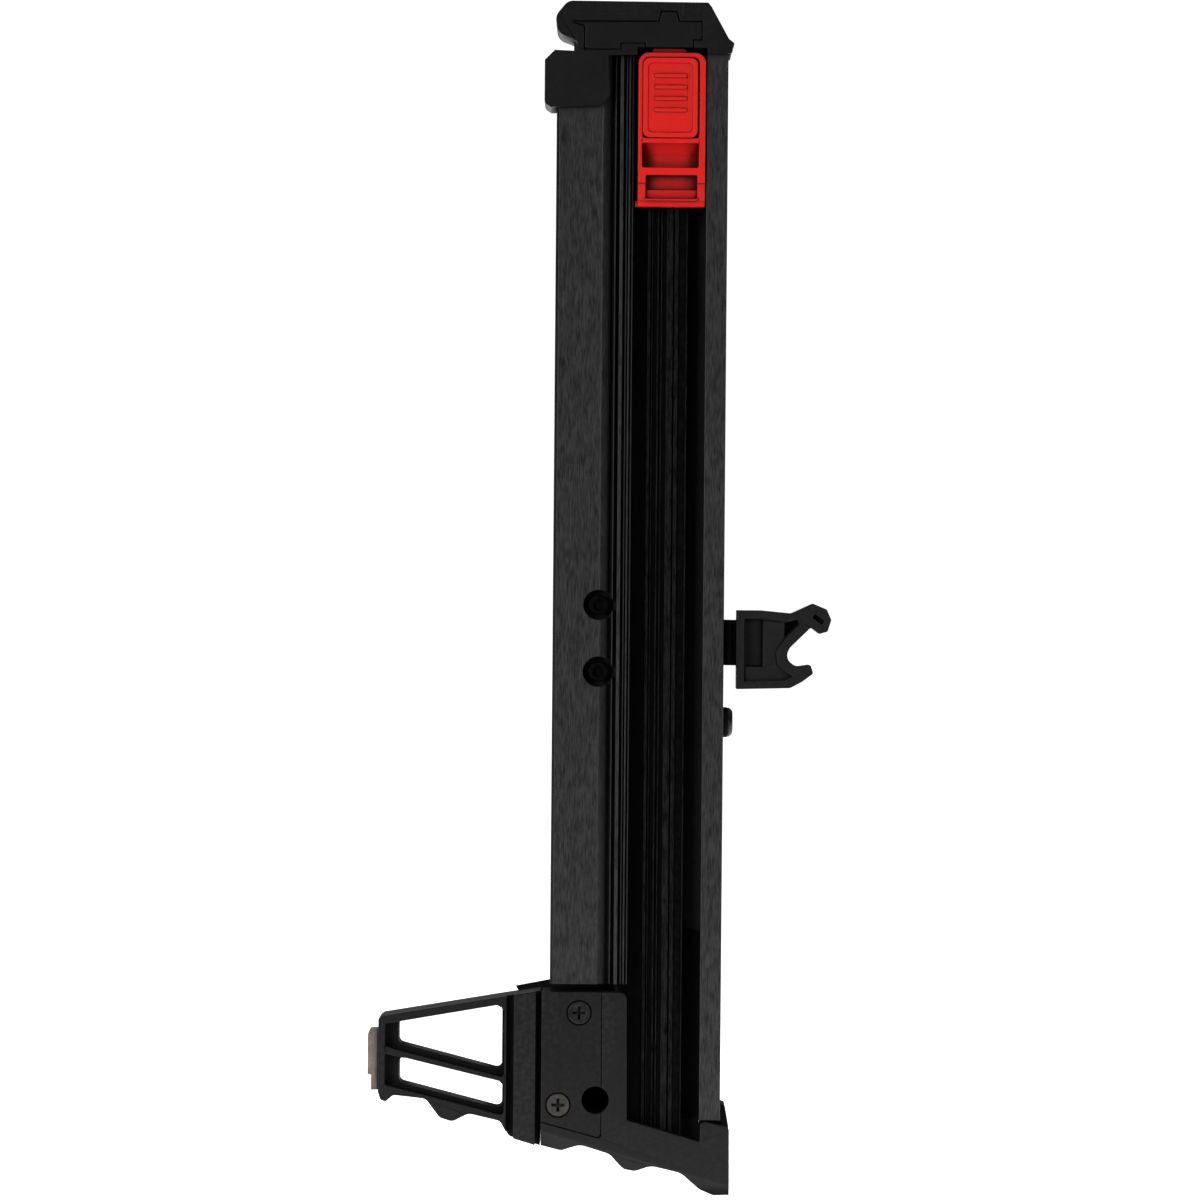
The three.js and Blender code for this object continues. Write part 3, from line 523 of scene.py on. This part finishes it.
@dataclass
class Workshop:
    """Makes pieces and dresses them.

    Attributes:
        groups: shared shader effects.
        materials: finished materials by slot.
    """

    groups: ShaderGroups = field(default_factory=ShaderGroups)
    materials: dict[str, bpy.types.Material] = field(default_factory=dict)

    def material(self, slot: str) -> bpy.types.Material:
        """The slot's material, built on first use.

        Args:
            slot: the record's material slot.

        Returns:
            The material.
        """
        if slot not in self.materials:
            self.materials[slot] = FINISHES[slot].material(self.groups)
        return self.materials[slot]

    def fit(self, piece: bpy.types.Object, node: str, finish: str | None = None) -> bpy.types.Object:
        """Dresses a piece and lets it stand for a CAD node.

        Args:
            piece: the finished object.
            node: the CAD node whose body and slot it takes.
            finish: the finish, where it differs from the slot's own.

        Returns:
            The piece.
        """
        slot = SLOT_OF[node]
        piece.data.materials.clear()
        piece.data.materials.append(self.material(finish or slot))
        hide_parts(node)
        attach(piece, BODY_OF[node])
        return piece

    def refined(
        self, node: str, bevel: float, segments: int = 3, flat: bool = True, finish: str | None = None
    ) -> bpy.types.Object:
        """A CAD node's shape as a clean mesh: merged, its flat faces joined, its edges rounded.

        Args:
            node: the CAD node.
            bevel: width of the rounding along sharp edges, in metres.
            segments: steps across the rounding.
            flat: whether flat faces are joined before they are cut into even triangles.
            finish: the finish, where it differs from the slot's own.

        Returns:
            The piece, already fitted in place of the node.
        """
        mesh = bpy.data.meshes.new(f"{node}_surface")
        work = bmesh.new()
        work.from_mesh(frame["nodes"][node].data)
        bmesh.ops.remove_doubles(work, verts=work.verts, dist=MERGE)
        if flat:
            bmesh.ops.dissolve_limit(work, angle_limit=PLANAR, verts=work.verts, edges=work.edges)
            bmesh.ops.triangulate(work, faces=work.faces, quad_method="BEAUTY", ngon_method="BEAUTY")
        for edge in work.edges:
            edge.smooth = edge.calc_face_angle(0.0) < SHARP
        for face in work.faces:
            face.smooth = any(FLAT < edge.calc_face_angle(0.0) < SHARP for edge in face.edges)
        work.to_mesh(mesh)
        work.free()
        piece = bpy.data.objects.new(f"{node}_finished", mesh)
        bpy.context.collection.objects.link(piece)
        rounding = piece.modifiers.new("edge_rounding", "BEVEL")
        rounding.width = bevel
        rounding.segments = segments
        rounding.limit_method = "ANGLE"
        rounding.angle_limit = SHARP
        rounding.use_clamp_overlap = False
        return self.fit(piece, node, finish)

    def surface(self, name: str, points: np.ndarray) -> bpy.types.Object:
        """A smooth quad surface from a grid of points, each row closed on itself and both ends capped flat.

        Args:
            name: the piece's name.
            points: array of shape (u, v, 3), u rows of v points.

        Returns:
            The object, not yet fitted.
        """
        rows, columns = points.shape[:2]
        index = np.arange(rows * columns).reshape(rows, columns)
        ring = np.hstack([index, index[:, :1]])
        quads = np.stack([ring[:-1, :-1], ring[:-1, 1:], ring[1:, 1:], ring[1:, :-1]], axis=-1)
        faces = quads.reshape(-1, 4).tolist()
        faces.append(index[0, ::-1].tolist())
        faces.append(index[-1].tolist())
        mesh = bpy.data.meshes.new(name)
        mesh.from_pydata(points.reshape(-1, 3).tolist(), [], faces)
        work = bmesh.new()
        work.from_mesh(mesh)
        bmesh.ops.remove_doubles(work, verts=work.verts, dist=WELD)
        bmesh.ops.recalc_face_normals(work, faces=work.faces)
        work.to_mesh(mesh)
        work.free()
        mesh.shade_smooth()
        piece = bpy.data.objects.new(name, mesh)
        bpy.context.collection.objects.link(piece)
        return piece


def carried(profile: np.ndarray, path: np.ndarray, across: np.ndarray, up: np.ndarray) -> np.ndarray:
    """A profile carried along a path: point + across * x + up * y for each profile point (x, y).

    Args:
        profile: array (v, 2) of the section.
        path: array (u, 3) of places.
        across: array (u, 3), the section's first direction at each place.
        up: array (u, 3), its second direction.

    Returns:
        The grid of points (u, v, 3).
    """
    x = profile[None, :, 0, None]
    y = profile[None, :, 1, None]
    return path[:, None, :] + across[:, None, :] * x + up[:, None, :] * y


# ---------- sub-assemblies ----------


@dataclass
class Track:
    """The brushed extrusion with the rail and liner inside it.

    Attributes:
        edge: rounding of the extrusion's corners.
        rail_edge: rounding of the rail's ribs.
        liner_edge: rounding of the feed liner's edges.
        anchor_edge: rounding of the tape anchor's edges.
    """

    edge: float = 0.1 * MM
    rail_edge: float = 0.08 * MM
    liner_edge: float = 0.08 * MM
    anchor_edge: float = 0.25 * MM

    def build(self, shop: Workshop) -> None:
        """Builds and fits the track's pieces.

        Args:
            shop: the workshop.
        """
        shop.refined("track_extrusion", self.edge)
        shop.refined("slot_strip", self.edge)
        shop.refined("staple_rail", self.rail_edge, segments=2, finish="rail_steel")
        shop.refined("feed_liner", self.liner_edge, segments=2)
        shop.refined("tape_anchor", self.anchor_edge)


@dataclass
class Nose:
    """The cast shoe and arm, their plates and screws, and the wear pad.

    Attributes:
        cast_edge: rounding of the castings' edges.
        plate_edge: rounding of the back plate's edges.
        cover_edge: rounding of the cover's edges.
        screw_edge: rounding of screw heads and recesses.
        pad_edge: rounding of the wear pad's edges.
        back_screws: number of screws in the back plate.
    """

    cast_edge: float = 0.12 * MM
    plate_edge: float = 0.1 * MM
    cover_edge: float = 0.25 * MM
    screw_edge: float = 0.08 * MM
    pad_edge: float = 0.2 * MM
    back_screws: int = 6

    def build(self, shop: Workshop) -> None:
        """Builds and fits the nose's pieces.

        Args:
            shop: the workshop.
        """
        shop.refined("nose_shoe", self.cast_edge, segments=4)
        shop.refined("nose_arm", self.cast_edge, segments=4)
        shop.refined("wear_pad", self.pad_edge)
        shop.refined("cover_plate", self.cover_edge)
        shop.refined("back_plate", self.plate_edge, finish="cast_black")
        screws = ["cover_screw_upper", "cover_screw_lower"]
        screws += [f"back_screw_{i}" for i in range(1, self.back_screws + 1)]
        for screw in screws:
            shop.refined(screw, self.screw_edge)


@dataclass
class EndCap:
    """The moulded cap, its inlaid plate and its two screws.

    Attributes:
        edge: rounding of the moulded edges.
        plate_edge: rounding of the inlaid plate's edges.
        screw_edge: rounding of the screws' heads.
    """

    edge: float = 0.1 * MM
    plate_edge: float = 0.3 * MM
    screw_edge: float = 0.15 * MM

    def build(self, shop: Workshop) -> None:
        """Builds and fits the cap's pieces.

        Args:
            shop: the workshop.
        """
        shop.refined("end_cap", self.edge, flat=False)
        shop.refined("end_cap_plate", self.plate_edge)
        for side in ("left", "right"):
            shop.refined(f"cap_screw_{side}", self.screw_edge, segments=2)


@dataclass
class ClipMount:
    """The strap, the snap clip, the strap's socket screws and the side bumper.

    Attributes:
        clip_edge: rounding of the moulded clip.
        strap_edge: rounding of the pressed strap.
        socket_edge: rounding of the strap's socket screws.
        washer_edge: rounding of the bumper's washer.
        bumper_edge: rounding of the bumper's screw.
    """

    clip_edge: float = 0.1 * MM
    strap_edge: float = 0.12 * MM
    socket_edge: float = 0.18 * MM
    washer_edge: float = 0.25 * MM
    bumper_edge: float = 0.15 * MM

    def build(self, shop: Workshop) -> None:
        """Builds and fits the clip's pieces.

        Args:
            shop: the workshop.
        """
        shop.refined("clip_bracket", self.strap_edge, finish="bracket_steel")
        shop.refined("tool_clip", self.clip_edge, finish="clip_plastic")
        for end in ("upper", "lower"):
            shop.refined(f"bracket_screw_{end}", self.socket_edge, finish="black_steel")
        shop.refined("bumper_washer", self.washer_edge)
        shop.refined("bumper_screw", self.bumper_edge)


@dataclass
class Pusher:
    """The red carriage with its pad, the follower behind it and the spring that pulls it.

    Attributes:
        edge: rounding of the red carriage.
        pad_edge: rounding of the thumb pad.
        follower_edge: rounding of the follower.
        screw_edge: rounding of the carriage's screws.
        pin_edge: rounding of the two pins' ends.
        tape_thick: thickness of the spring tape.
        tape_cup: how far the tape's middle stands out of its edges.
        drum_bore: radius at which the wound tape starts.
        laps: turns of tape on the drum.
        lap_steps: rows of the surface in each turn.
        tape_rows: rows of the surface up the straight tape.
        tape_columns: columns across one face of it.
        wire: radius of the pad spring's wire.
        turns: turns of the pad spring.
        turn_steps: rows of the surface in each turn.
        wire_sides: columns round the wire.
    """

    edge: float = 0.1 * MM
    pad_edge: float = 0.06 * MM
    follower_edge: float = 0.3 * MM
    screw_edge: float = 0.1 * MM
    pin_edge: float = 0.15 * MM
    tape_thick: float = 0.16 * MM
    tape_cup: float = 0.1 * MM
    drum_bore: float = 2.55 * MM
    laps: int = 11
    lap_steps: int = 40
    tape_rows: int = 60
    tape_columns: int = 13
    wire: float = 0.26 * MM
    turns: float = 9.0
    turn_steps: int = 28
    wire_sides: int = 10

    def wound_drum(self, shop: Workshop) -> bpy.types.Object:
        """The wound tape: a strip whose section is carried along an Archimedean spiral.

        The radius grows evenly with the angle, from the bore to the drum's outside, and the strip's width
        lies along Y.

        Args:
            shop: the workshop.

        Returns:
            The piece.
        """
        low, high = (np.array(corner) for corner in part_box("spring_drum"))
        centre = (low + high) / 2
        outer = (high[0] - low[0]) / 2 - self.tape_thick / 2
        angle = np.linspace(0.0, 2 * math.pi * self.laps, self.laps * self.lap_steps)
        radius = self.drum_bore + (outer - self.drum_bore) * angle / angle[-1]
        outward = np.stack([np.cos(angle), np.zeros_like(angle), np.sin(angle)], axis=1)
        path = centre + outward * radius[:, None]
        width = (high[1] - low[1]) / 2
        half = self.tape_thick / 2
        section = np.array([(-half, -width), (half, -width), (half, width), (-half, width)])
        sideways = np.tile(np.array(Axis.Y.value), (len(angle), 1))
        points = carried(section, path, outward, sideways)
        piece = shop.surface("spring_drum_finished", points)
        return shop.fit(piece, "spring_drum")

    def straight_tape(self, shop: Workshop) -> bpy.types.Object:
        """The tape's straight run: a shallow cupped section carried up the groove.

        The section is a thin band whose middle stands out by a cosine of the place across it.

        Args:
            shop: the workshop.

        Returns:
            The piece.
        """
        low, high = (np.array(corner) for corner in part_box("spring_tape"))
        across = np.linspace(-1.0, 1.0, self.tape_columns)
        bow = self.tape_cup * np.cos(across * math.pi / 2)
        half_width = (high[1] - low[1]) / 2
        front = np.stack([bow - self.tape_thick / 2, across * half_width], axis=1)
        back = np.stack([bow + self.tape_thick / 2, across * half_width], axis=1)[::-1]
        section = np.vstack([front, back])
        middle = (low + high) / 2
        path = np.tile(middle - (self.tape_cup / 2, 0, 0), (self.tape_rows, 1))
        path[:, 2] = np.linspace(low[2], high[2], self.tape_rows)
        ahead = np.tile(np.array(Axis.X.value), (self.tape_rows, 1))
        sideways = np.tile(np.array(Axis.Y.value), (self.tape_rows, 1))
        points = carried(section, path, ahead, sideways)
        piece = shop.surface("spring_tape_finished", points)
        shop.fit(piece, "spring_tape")
        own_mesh(piece)
        return piece

    def pad_spring(self, shop: Workshop) -> bpy.types.Object:
        """The torsion spring: a round wire carried along a helix about the pivot pin.

        Args:
            shop: the workshop.

        Returns:
            The piece.
        """
        low, high = (np.array(corner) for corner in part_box("pad_spring"))
        centre = (low + high) / 2
        radius = (high[2] - low[2]) / 2 - self.wire
        angle = np.linspace(0.0, 2 * math.pi * self.turns, int(self.turns * self.turn_steps))
        run = np.linspace(low[0] + self.wire, high[0] - self.wire, len(angle))
        outward = np.stack([np.zeros_like(angle), np.cos(angle), np.sin(angle)], axis=1)
        path = outward * radius
        path[:, 0] = run
        path[:, 1:] += centre[1:]
        around = np.linspace(0.0, 2 * math.pi, self.wire_sides, endpoint=False)
        section = np.stack([np.cos(around), np.sin(around)], axis=1) * self.wire
        sideways = np.tile(np.array(Axis.X.value), (len(angle), 1))
        points = carried(section, path, outward, sideways)
        piece = shop.surface("pad_spring_finished", points)
        return shop.fit(piece, "pad_spring")

    def build(self, shop: Workshop) -> None:
        """Builds and fits the pusher's pieces.

        Args:
            shop: the workshop.
        """
        shop.refined("pusher_body", self.edge, flat=False)
        shop.refined("thumb_pad", self.pad_edge, segments=2)
        shop.refined("pusher_follower", self.follower_edge)
        for side in ("left", "right"):
            shop.refined(f"pusher_screw_{side}", self.screw_edge, segments=2)
        for pin in ("drum_pin", "pad_pivot_pin"):
            shop.refined(pin, self.pin_edge, segments=2)
        self.wound_drum(shop)
        self.straight_tape(shop)
        self.pad_spring(shop)


# ---------- studio ----------


@dataclass
class Studio:
    """The floor, the light and the camera.

    Attributes:
        aim: the point in the middle of the picture.
        distance: from the camera to that point.
        lens: focal length, in millimetres.
        roll: the camera's roll, in degrees, about its own view.
        floor_drop: how far the floor lies under the object.
        floor_half: half the floor's side.
        glow_from: Y at which the floor's glow begins, for all but the camera.
        glow_full: Y from which it glows in full.
        lit_point: the point that the lamps face.
    """

    aim: tuple[float, float, float] = (0.0003, -0.015, 0.2150)
    distance: float = 2.5
    lens: float = 174.4
    roll: float = -0.47
    floor_drop: float = 4 * MM
    floor_half: float = 40.0
    glow_from: float = -0.5
    glow_full: float = -0.08
    lit_point: tuple[float, float, float] = (0.0, 0.0, 0.2)

    def camera(self) -> None:
        """Places the camera square on to the slotted face."""
        data = bpy.data.cameras.new("camera")
        data.lens = self.lens
        data.sensor_width = 36.0
        data.clip_start = 0.05
        data.clip_end = 60.0
        camera = bpy.data.objects.new("camera", data)
        bpy.context.collection.objects.link(camera)
        upright = Matrix.Rotation(math.radians(90), 4, "X")
        leaning = Matrix.Rotation(math.radians(self.roll), 4, "Y")
        place = Matrix.Translation(Vector(self.aim) - Vector((0, self.distance, 0)))
        camera.matrix_world = place @ leaning @ upright
        bpy.context.scene.camera = camera

    def floor(self) -> None:
        """A wide floor that the camera sees as white, so that it meets the room without a line.

        For the light on the object it glows only from the object's place backwards. On the camera's side it
        is dark grey and doesn't glow.
        """
        low, _ = CAD_BOX
        corner = np.array([(-1.0, -1.0), (1.0, -1.0), (1.0, 1.0), (-1.0, 1.0)]) * self.floor_half
        height = np.full((4, 1), float(low[2]) - self.floor_drop)
        mesh = bpy.data.meshes.new("floor")
        mesh.from_pydata(np.hstack([corner, height]).tolist(), [], [(0, 1, 2, 3)])
        floor = bpy.data.objects.new("floor", mesh)
        bpy.context.collection.objects.link(floor)
        material = bpy.data.materials.new("pale_floor")
        material.use_nodes = True
        shader = material.node_tree.nodes["Principled BSDF"]
        n = Nodes(material.node_tree)
        place = n.add("ShaderNodeTexCoord").outputs["Object"]
        depth = n.add("ShaderNodeSeparateXYZ", {0: place}).outputs["Y"]
        behind = n.ramp(depth, self.glow_from, self.glow_full)
        shown = n.math("MAXIMUM", behind, n.add("ShaderNodeLightPath").outputs["Is Camera Ray"])
        glow = n.mix(shown, (0.0, 0.0, 0.0, 1.0), (1.0, 1.0, 1.0, 1.0))
        paint = n.mix(behind, (0.12, 0.12, 0.12, 1.0), (0.9, 0.9, 0.9, 1.0))
        material.node_tree.links.new(glow, shader.inputs["Emission Color"])
        material.node_tree.links.new(paint, shader.inputs["Base Color"])
        shader.inputs["Roughness"].default_value = 0.9
        shader.inputs["Specular IOR Level"].default_value = 0.0
        shader.inputs["Emission Strength"].default_value = 1.1
        mesh.materials.append(material)

    def room(self) -> None:
        """A room that the camera sees as white, and that lights the object mostly from behind.

        The light that it gives is dim beside the object and on the camera's side, and grows towards the back.
        """
        world = bpy.data.worlds.new("room")
        bpy.context.scene.world = world
        world.use_nodes = True
        n = Nodes(world.node_tree)
        world.node_tree.nodes.clear()
        direction = n.add("ShaderNodeTexCoord").outputs["Generated"]
        parts = n.add("ShaderNodeSeparateXYZ", {0: direction})
        ramp = n.add("ShaderNodeValToRGB", {0: n.math("MULTIPLY_ADD", parts.outputs["Y"], 0.5, 0.5)})
        ramp.color_ramp.elements[0].position = 0.5
        ramp.color_ramp.elements[0].color = (0.03, 0.03, 0.03, 1.0)
        ramp.color_ramp.elements[1].position = 0.9
        ramp.color_ramp.elements[1].color = (0.3, 0.3, 0.3, 1.0)
        lit = n.add("ShaderNodeBackground", {"Color": ramp.outputs[0], "Strength": 0.75})
        seen = n.add("ShaderNodeBackground", {"Color": (1.0, 1.0, 1.0, 1.0), "Strength": 1.05})
        to_camera = n.add("ShaderNodeLightPath").outputs["Is Camera Ray"]
        both = n.add("ShaderNodeMixShader", {0: to_camera, 1: lit.outputs[0], 2: seen.outputs[0]})
        n.add("ShaderNodeOutputWorld", {"Surface": both.outputs[0]})

    def lamp(
        self,
        name: str,
        place: tuple[float, float, float],
        size: tuple[float, float],
        power: float,
    ) -> None:
        """Adds a soft rectangular lamp that faces the object's middle.

        Args:
            name: the lamp's name.
            place: where it stands.
            size: its width and height.
            power: its power in watts.
        """
        data = bpy.data.lights.new(name, "AREA")
        data.shape = "RECTANGLE"
        data.size, data.size_y = size
        data.energy = power
        lamp = bpy.data.objects.new(name, data)
        bpy.context.collection.objects.link(lamp)
        lamp.location = place
        lamp.rotation_mode = "QUATERNION"
        lamp.rotation_quaternion = (Vector(self.lit_point) - Vector(place)).to_track_quat("-Z", "Y")

    def build(self) -> None:
        """Builds the whole studio."""
        self.camera()
        self.floor()
        self.room()
        self.lamp("key_left", (-1.3, -1.9, 0.4), (0.9, 1.4), 38.0)
        self.lamp("fill_right", (1.2, -2.0, 0.4), (0.7, 1.4), 17.0)
        self.lamp("top_soft", (0.0, 0.25, 2.0), (1.4, 0.9), 30.0)
        scene = bpy.context.scene
        scene.view_settings.view_transform = "Standard"
        scene.view_settings.look = "None"


def main() -> None:
    """Builds the studio and every sub-assembly."""
    logging.basicConfig(level=logging.INFO, format="%(name)s: %(message)s")
    Studio().build()
    log.info("studio built")
    shop = Workshop()
    for assembly in (Track(), Nose(), EndCap(), ClipMount(), Pusher()):
        assembly.build(shop)
        log.info("%s built", type(assembly).__name__)


if __name__ == "__main__":
    main()
